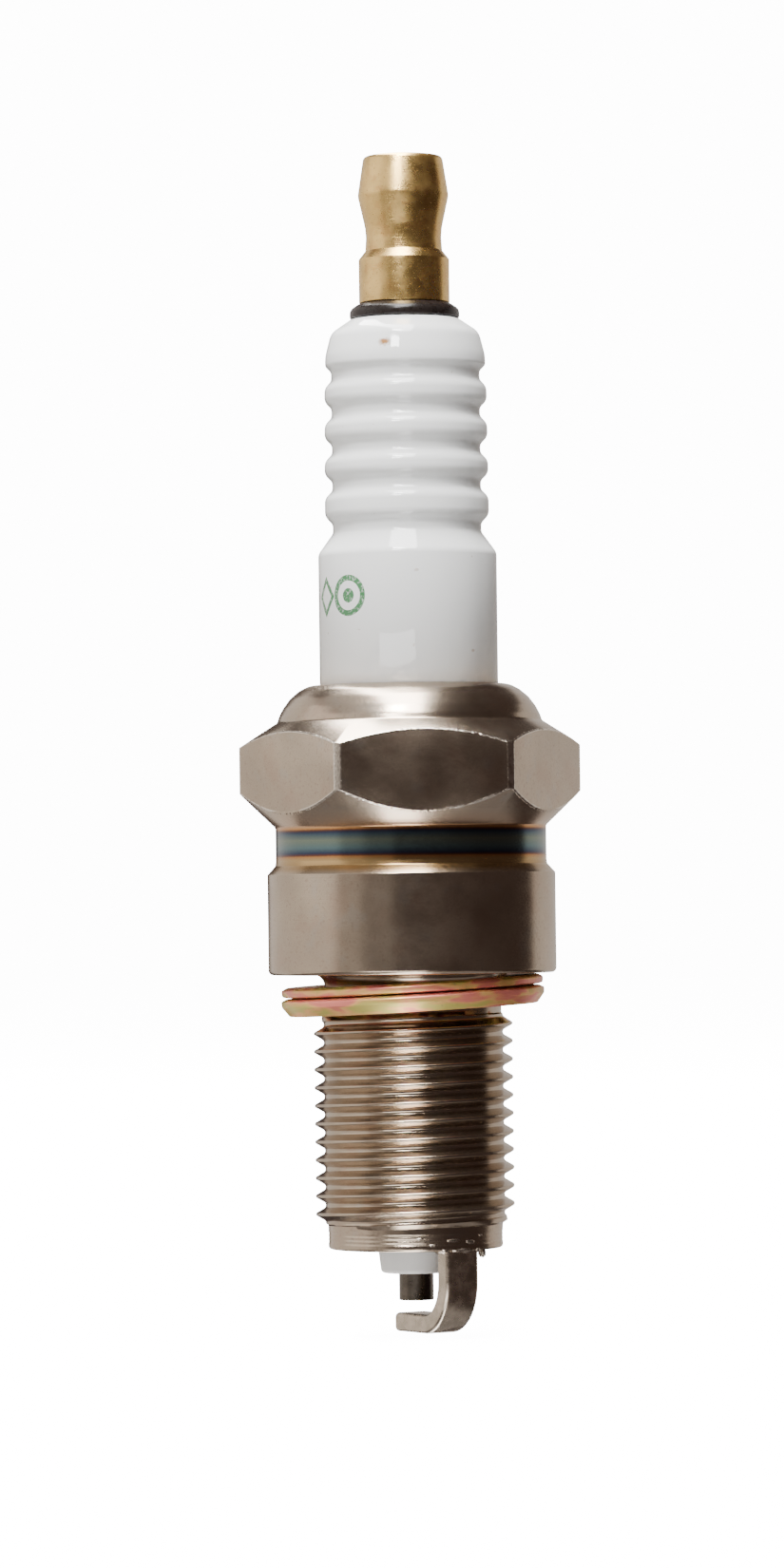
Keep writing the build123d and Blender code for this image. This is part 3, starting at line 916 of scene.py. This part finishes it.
def build_stud(sizes):
    """The terminal stud with its M4 thread, collar and gripping rings."""
    top, bottom = STUD_HIGH.z, STUD_LOW.z
    collar_top = INSULATOR_HIGH.z + STUD_COLLAR
    root, crest = 1.52, 1.95
    grip, grip_root, collar, undercut = 1.8, 1.55, 2.4, 1.47
    join_low, join_high = collar_top + 0.3, top - 0.4
    rings = []
    for ring in range(3):
        middle = bottom + 0.8 * (ring + 1)
        rings += [(grip, middle - 0.25, 0), (grip_root, middle, 0), (grip, middle + 0.25, 0)]
    body = lathe(
        "stud_body",
        [(0, bottom, 0), (grip_root, bottom, 0), (grip, bottom + 0.25, 0)]
        + rings
        + [
            (grip, bottom + 2.8, 0),
            (crest, bottom + 3.05, 0),
            (crest, INSULATOR_HIGH.z, 0),
            (collar, INSULATOR_HIGH.z, 0.05),
            (collar, collar_top, 0.1),
            (undercut, collar_top, 0),
            (undercut, join_low, 0),
        ],
        sizes.steps,
        closed=False,
    )
    point = [(crest, join_high, 0), (grip_root, top, 0.05), (0, top, 0)]
    end = lathe("stud_end", point, sizes.steps, closed=False)
    start = stud_groove_start() - sizes.pitch
    turns = math.ceil((join_high - start) / sizes.pitch) + 1
    tooth = tooth_points(root, crest, sizes.pitch, root_flat=0.1165, soft=0.012)
    spiral = thread("stud_thread", tooth, sizes.pitch, sizes.steps, start, turns)
    outline = [
        (join_low, undercut),
        (collar_top + STUD_UNDERCUT, undercut),
        (collar_top + 1.23, crest),
        (join_high, crest),
    ]
    trim_thread(spiral, outline, min)
    stud = join("terminal_stud_steel", body, spiral, end)
    smooth(stud, 38)
    return stud


def build_o_ring(sizes):
    """The O-ring, pressed flat on the head and bulging out under the nut."""
    low, high = RING_LOW.z, RING_HIGH.z
    outer = (RING_HIGH.x - RING_LOW.x) / 2
    inner, shoulder = outer - 1.25, 0.62
    corners = [
        (inner, low, 0.2),
        (outer, low, 0.16),
        (outer, low + shoulder, 0.5),
        (outer - shoulder, high, 0.5),
        (inner, high, 0.2),
    ]
    ring = lathe("terminal_o_ring_rubber", corners, sizes.steps, turn_step=8)
    ring = join("terminal_o_ring_rubber", ring)
    smooth(ring, 60)
    return ring


def build_gasket(sizes):
    """The crush gasket: folded sheet, turned flat and then leaned on the neck."""
    middle = GASKET_MIDDLE
    corners = [
        (6.62, 0.95, 0.22),
        (8.72, 1.0, 0.12),
        (9.1, 0.80, 0.18),
        (9.06, 0.38, 0.16),
        (8.78, 0.31, 0.08),
        (7.45, 0.4, 0.04),
        (7.45, 0.28, 0.04),
        (8.8, 0.21, 0.06),
        (9.15, 0.05, 0.14),
        (9.12, -0.34, 0.2),
        (8.62, -1.0, 0.16),
        (7.25, -1.0, 0.12),
        (7.25, -0.58, 0.12),
        (8.45, -0.58, 0.14),
        (8.68, -0.25, 0.14),
        (8.58, -0.06, 0.1),
        (6.85, 0.04, 0.18),
        (6.62, 0.35, 0.12),
    ]
    piece = lathe(
        "crush_gasket_plated",
        [(r, middle + z, rounding) for r, z, rounding in corners],
        sizes.steps,
        turn_step=12,
    )
    piece = join("crush_gasket_plated", piece)
    centre = Vector((0, 0, middle * MM))
    lean = Matrix.Rotation(-sizes.tilt, 4, "Y")
    piece.data.transform(Matrix.Translation(centre) @ lean @ Matrix.Translation(-centre))
    smooth(piece, 50)
    return piece


def build_centre_electrode():
    """The centre electrode's nickel sheath around its copper core."""
    tip, top = ELECTRODE_LOW.z, ELECTRODE_HIGH.z
    steps, core_steps = 96, 48
    shank, head, core = 1.2, 1.75, 0.65
    core_low, core_high = tip + 3.1, top - 0.6
    outside = [
        (0, tip, 0),
        (shank, tip, 0.08),
        (shank, top - 2.1, 0),
        (head, top - 1.6, 0),
        (head, top, 0.1),
        (0, top, 0),
    ]
    inside = [(0, core_low, 0), (core, core_low, 0.3), (core, core_high, 0), (0, core_high, 0)]
    skin = lathe("electrode_skin", outside, steps, closed=False, turn_step=12)
    bore = lathe("electrode_bore", inside, core_steps, closed=False)
    piece = join("centre_electrode_sheath", skin)
    bore = join("electrode_bore", bore)
    only(bore)
    mode("EDIT")
    whole_mesh()
    bpy.ops.mesh.flip_normals()
    mode("OBJECT")
    only(piece)
    bore.select_set(True)
    bpy.ops.object.join()
    smooth(piece, 35)
    return piece


def build_strap(sizes):
    """The ground electrode: a rounded bar, carried down, round a bend and in under the tip."""
    root, low = STRAP_HIGH.z, STRAP_LOW.z
    across, up, bend_steps = 2.5, 3.0, 16
    side_rounding, end_rounding = 0.34, 0.09
    middle = low + sizes.thickness / 2
    places = [(sizes.radius, height, 0) for height in (root, root - 0.6, root - 1.2, middle + up)]
    for step in range(1, bend_steps + 1):
        turn = math.pi / 2 * step / bend_steps
        lean = math.atan2(across * math.sin(turn), up * math.cos(turn))
        here = sizes.radius - across * (1 - math.cos(turn))
        places.append((here, middle + up * (1 - math.sin(turn)), lean))
    places += [(sizes.radius - across - run, middle, math.pi / 2) for run in (1.2, 2.4, 3.53)]
    bpy.ops.mesh.primitive_plane_add(size=MM, location=(0, 0, 0))
    strap = bpy.context.object
    strap.name = "ground_electrode_strap"
    mode("EDIT")
    bpy.ops.transform.resize(value=(sizes.thickness, sizes.width, 1))
    bpy.ops.mesh.bevel(offset=side_rounding * MM, segments=6, affect="VERTICES")
    for index, (radius, height, lean) in enumerate(places):
        if index:
            bpy.ops.mesh.extrude_region_move(TRANSFORM_OT_translate={"value": (0, 0, 0)})
            mode("OBJECT")
            ring = [v for v in strap.data.vertices if v.select]
            for vertex in ring:
                vertex.co = back @ vertex.co
        else:
            mode("OBJECT")
            ring = list(strap.data.vertices)
        place = Matrix.Translation((radius * MM, 0, height * MM)) @ Matrix.Rotation(lean, 4, "Y")
        back = place.inverted()
        for vertex in ring:
            vertex.co = place @ vertex.co
        mode("EDIT")
    bpy.ops.mesh.region_to_loop()
    bpy.ops.mesh.bevel(offset=end_rounding * MM, segments=3, affect="EDGES")
    mode("OBJECT")
    strap = join("ground_electrode_strap", strap)
    strap.data.transform(Matrix.Rotation(sizes.azimuth - math.pi / 2, 4, "Z"))
    smooth(strap, 40)
    return strap


def lump(azimuth, radius, height, size):
    """A lump of melted metal with this half-size across, along the rim and up."""
    bpy.ops.mesh.primitive_ico_sphere_add(subdivisions=4, radius=MM)
    piece = bpy.context.object
    for vertex in piece.data.vertices:
        seed = Vector((azimuth, radius, height)) * 9
        swell = 1 + 0.22 * noise.noise(vertex.co / MM * 2.1 + seed)
        vertex.co = Vector([part * half * swell for part, half in zip(vertex.co, size)])
    turn = Matrix.Rotation(math.radians(azimuth - 90), 4, "Z")
    piece.data.transform(turn @ Matrix.Translation((radius * MM, 0, height * MM)))
    return piece


def build_weld(sizes):
    """The weld at the strap's root: a lumpy bead and the spatter round it."""
    root = STRAP_HIGH.z
    azimuth = math.degrees(sizes.azimuth)
    # degrees from the strap, radius, rise from its root, and half-size
    places = [
        (0, 5.25, 0.02, (0.86, 1.62, 0.34)),
        (-13, 5.72, 0.1, (0.34, 0.55, 0.3)),
        (13, 5.75, 0.12, (0.32, 0.5, 0.28)),
        (21, 5.66, -0.22, (0.28, 0.3, 0.3)),
        (24, 5.85, 0.5, (0.16, 0.2, 0.18)),
        (-21, 5.92, 0.42, (0.14, 0.45, 0.16)),
        (-7, 6.0, 0.75, (0.1, 0.5, 0.12)),
        (6, 6.0, 0.62, (0.12, 0.4, 0.16)),
        (-30, 5.98, 0.9, (0.09, 0.3, 0.1)),
        (15, 6.02, 1.05, (0.08, 0.16, 0.09)),
    ]
    drops = [
        lump(azimuth + turn, radius, root + rise, size) for turn, radius, rise, size in places
    ]
    weld = join("electrode_weld_bead", *drops)
    smooth(weld, 60)
    return weld


# ---------------------------------------------------------------- operators


class SPARKPLUG_OT_shell(bpy.types.Operator):
    """Build the shell with its thread and hexagon"""

    bl_idname = "sparkplug.shell"
    bl_label = "Build Shell"

    def execute(self, context):
        sizes = context.scene.sparkplug_shell
        piece = build_shell(sizes)
        stands_for(piece, "plug_body", "nickel_plated_steel", nickel_finish(sizes), "shell")
        return {"FINISHED"}


class SPARKPLUG_OT_insulator(bpy.types.Operator):
    """Build the ribbed insulator"""

    bl_idname = "sparkplug.insulator"
    bl_label = "Build Insulator"

    def execute(self, context):
        sizes = context.scene.sparkplug_insulator
        piece = build_insulator(sizes)
        stands_for(piece, "plug_body", "glazed_alumina", glaze_finish(sizes), "insulator")
        return {"FINISHED"}


class SPARKPLUG_OT_terminal(bpy.types.Operator):
    """Build the terminal nut, the O-ring and the stud"""

    bl_idname = "sparkplug.terminal"
    bl_label = "Build Terminal"

    def execute(self, context):
        sizes = context.scene.sparkplug_terminal
        nut, ring, stud = build_nut(sizes), build_o_ring(sizes), build_stud(sizes)
        steel = plain_finish("stud_steel", (0.60, 0.58, 0.55), 1.0, 0.3, 0.1)
        stands_for(nut, "turning_nut", "nut_brass", brass_finish(sizes), "terminal_nut")
        stands_for(ring, "lifting_ring", "o_ring_rubber", rubber_finish(sizes), "terminal_o_ring")
        stands_for(stud, "plug_body", "stud_steel", steel, "terminal_stud")
        return {"FINISHED"}


class SPARKPLUG_OT_gasket(bpy.types.Operator):
    """Build the loose crush gasket"""

    bl_idname = "sparkplug.gasket"
    bl_label = "Build Gasket"

    def execute(self, context):
        sizes = context.scene.sparkplug_gasket
        piece = build_gasket(sizes)
        stands_for(piece, "loose_gasket", "gasket_plating", zinc_finish(sizes), "crush_gasket")
        return {"FINISHED"}


class SPARKPLUG_OT_electrodes(bpy.types.Operator):
    """Build the centre electrode, the ground electrode and its weld"""

    bl_idname = "sparkplug.electrodes"
    bl_label = "Build Electrodes"

    def execute(self, context):
        sizes = context.scene.sparkplug_electrodes
        alloy = electrode_finish("strap_alloy", tuple(sizes.nickel))
        burnt = electrode_finish("burnt_alloy", tuple(sizes.burnt))
        centre, strap, weld = build_centre_electrode(), build_strap(sizes), build_weld(sizes)
        stands_for(centre, "plug_body", "electrode_nickel", burnt, "centre_electrode")
        stands_for(strap, "plug_body", "electrode_nickel", alloy, "ground_electrode")
        bead = plain_finish("weld_bead", (0.40, 0.34, 0.28), 1.0, 0.3, 0.06)
        stands_for(weld, "plug_body", "weld_metal", bead, "electrode_weld")
        return {"FINISHED"}


# each hidden node's finish, with its colour, metallic, roughness and grain
INSIDE = {
    "seat_gasket": ("washer_steel", (0.45, 0.45, 0.45), 1.0, 0.35, 0.15),
    "lower_packing_ring": ("packing_wire", (0.45, 0.45, 0.45), 1.0, 0.35, 0.15),
    "upper_packing_ring": ("packing_wire", (0.45, 0.45, 0.45), 1.0, 0.35, 0.15),
    "talc_packing": ("pressed_talc", (0.78, 0.78, 0.74), 0.0, 0.8, 0.2),
    "electrode_copper_core": ("core_copper", (0.72, 0.39, 0.26), 1.0, 0.3, 0.15),
    "lower_glass_seal": ("seal_glass", (0.18, 0.17, 0.17), 0.0, 0.35, 0.1),
    "upper_glass_seal": ("seal_glass", (0.18, 0.17, 0.17), 0.0, 0.35, 0.1),
    "resistor": ("resistor_mass", (0.10, 0.10, 0.11), 0.0, 0.6, 0.08),
}


class SPARKPLUG_OT_inside(bpy.types.Operator):
    """Finish the CAD pieces that the insulator and the shell hide"""

    bl_idname = "sparkplug.inside"
    bl_label = "Finish Inside Pieces"

    def execute(self, context):
        made = {}
        for node, (name, *look) in INSIDE.items():
            if name not in made:
                made[name] = plain_finish(name, *look)
            for slot in frame["nodes"][node].material_slots:
                slot.material = made[name]
        return {"FINISHED"}


def area_light(name, azimuth, height, distance, width, tall, radiance, colour):
    """A panel of this radiance that faces the plug, placed by its azimuth from the front."""
    data = bpy.data.lights.new(name, "AREA")
    data.shape = "RECTANGLE"
    data.size, data.size_y = width, tall
    data.energy = radiance * math.pi * width * tall
    data.color = colour
    data.cycles.max_bounces = 1
    lamp = bpy.data.objects.new(name, data)
    bpy.context.scene.collection.objects.link(lamp)
    angle = math.radians(azimuth)
    lamp.location = (distance * math.sin(angle), -distance * math.cos(angle), height)
    aim = Vector((0, 0, 0.01)) - lamp.location
    lamp.rotation_euler = aim.to_track_quat("-Z", "Y").to_euler()


WHITE = (1.0, 1.0, 1.0)
WARM = (1.0, 0.955, 0.90)

# name, azimuth from the front, height, distance, width, tallness, radiance and colour
LAMPS = [
    ("panel_left", -116, 0.02, 0.60, 1.30, 1.00, 0.90, WARM),
    ("panel_left_edge", -58, 0.02, 0.60, 0.24, 1.00, 0.45, WARM),
    ("panel_front_left", -34, 0.02, 0.60, 0.29, 1.00, 0.16, WARM),
    ("panel_right", 144, 0.02, 0.60, 0.90, 0.60, 0.72, WARM),
    ("ceiling", -90, 0.62, 0.55, 0.90, 1.60, 0.45, WHITE),
    ("strip_above", -90, 0.62, 0.055, 1.30, 0.26, 24.0, WHITE),
    ("strip_below", -90, -0.45, 0.03, 0.90, 0.12, 8.0, WHITE),
    ("panel_below", 0, -0.50, 0.0, 0.90, 0.90, 0.25, WHITE),
    ("softbox_high", -21, 0.50, 0.36, 0.12, 0.10, 60.0, WHITE),
    ("softbox_low", -21, 0.36, 0.52, 0.12, 0.08, 60.0, WHITE),
    ("softbox_under", -21, -0.30, 0.55, 0.50, 0.14, 6.0, WHITE),
]

# how brightly the paper and the room behind it glow for the camera
PAPER_GLOW = 14.0


def build_camera():
    """A long lens at the plug's front, level, with the plug a little right of the middle."""
    azimuth, distance, eye, focal = -5.4, 434.0, 4.8, 143.5
    across, upward, roll = -1.27, 8.38, 0.70
    angle = math.radians(azimuth)
    right = Vector((math.cos(angle), math.sin(angle), 0))
    place = Vector((distance * math.sin(angle), -distance * math.cos(angle), eye))
    target = Vector((0, 0, eye)) + right * across + Vector((0, 0, upward))
    data = bpy.data.cameras.new("camera")
    data.lens = focal
    data.sensor_width = 36.0
    data.clip_start, data.clip_end = 0.01, 20.0
    camera = bpy.data.objects.new("camera", data)
    bpy.context.scene.collection.objects.link(camera)
    look = (target - place).to_track_quat("-Z", "Y").to_matrix().to_4x4()
    look = look @ Matrix.Rotation(math.radians(-roll), 4, "Z")
    camera.matrix_world = Matrix.Translation(place * MM) @ look
    bpy.context.scene.camera = camera


class SPARKPLUG_OT_stage(bpy.types.Operator):
    """Set the floor, the soft light and the camera"""

    bl_idname = "sparkplug.stage"
    bl_label = "Set Stage"

    def execute(self, context):
        bpy.ops.mesh.primitive_plane_add(size=4.0, location=(0, 0, (STRAP_LOW.z - 0.4) * MM))
        floor = context.object
        floor.name = "stage_floor"
        paper = Finish(
            "stage_paper",
            Roughness=0.9,
            Emission_Color=(*WHITE, 1.0),
            Emission_Strength=PAPER_GLOW,
        )
        grain = paper.noise(30)
        paper.set(Base_Color=paper.mix(grain, shade(WHITE, 0.86), shade(WHITE, 0.88)))
        floor.data.materials.append(paper.material)
        # the paper is there for the camera alone, and the lamps below light the plug through it
        floor.visible_diffuse = floor.visible_glossy = False
        floor.visible_transmission = floor.visible_shadow = False
        world = bpy.data.worlds.new("studio")
        context.scene.world = world
        world.use_nodes = True
        tree = world.node_tree
        backdrop = tree.nodes["Background"]
        backdrop.inputs["Color"].default_value = (*WHITE, 1.0)
        backdrop.inputs["Strength"].default_value = PAPER_GLOW
        room = tree.nodes.new("ShaderNodeBackground")
        room.inputs["Color"].default_value = (1.0, 0.71, 0.64, 1)
        room.inputs["Strength"].default_value = 0.06
        path = tree.nodes.new("ShaderNodeLightPath")
        blend = tree.nodes.new("ShaderNodeMixShader")
        tree.links.new(path.outputs["Is Camera Ray"], blend.inputs[0])
        tree.links.new(room.outputs[0], blend.inputs[1])
        tree.links.new(backdrop.outputs[0], blend.inputs[2])
        tree.links.new(blend.outputs[0], tree.nodes["World Output"].inputs["Surface"])
        for lamp in LAMPS:
            area_light(*lamp)
        build_camera()
        return {"FINISHED"}


class SPARKPLUG_PT_panel(bpy.types.Panel):
    """Lists the plug's sizes and the operators that build it"""

    bl_idname = "SPARKPLUG_PT_panel"
    bl_label = "Spark Plug"
    bl_space_type = "VIEW_3D"
    bl_region_type = "UI"
    bl_category = "Spark Plug"

    def draw(self, context):
        for step in STEPS:
            self.layout.operator(f"sparkplug.{step}")
            if step in GROUPS:
                sizes = getattr(context.scene, f"sparkplug_{step}")
                for key in GROUPS[step].__annotations__:
                    self.layout.prop(sizes, key)


STEPS = ["shell", "insulator", "terminal", "gasket", "electrodes", "inside", "stage"]

GROUPS = {
    "shell": SparkPlugShell,
    "insulator": SparkPlugInsulator,
    "terminal": SparkPlugTerminal,
    "gasket": SparkPlugGasket,
    "electrodes": SparkPlugElectrodes,
}

CLASSES = [
    *GROUPS.values(),
    SPARKPLUG_OT_shell,
    SPARKPLUG_OT_insulator,
    SPARKPLUG_OT_terminal,
    SPARKPLUG_OT_gasket,
    SPARKPLUG_OT_electrodes,
    SPARKPLUG_OT_inside,
    SPARKPLUG_OT_stage,
    SPARKPLUG_PT_panel,
]


def register():
    for cls in CLASSES:
        bpy.utils.register_class(cls)
    for name, group in GROUPS.items():
        setattr(bpy.types.Scene, f"sparkplug_{name}", PointerProperty(type=group))


def unregister():
    for name in GROUPS:
        delattr(bpy.types.Scene, f"sparkplug_{name}")
    for cls in reversed(CLASSES):
        bpy.utils.unregister_class(cls)


def main():
    """Build every piece."""
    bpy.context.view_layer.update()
    register()
    for step in STEPS:
        getattr(bpy.ops.sparkplug, step)()


if __name__ == "__main__":
    main()
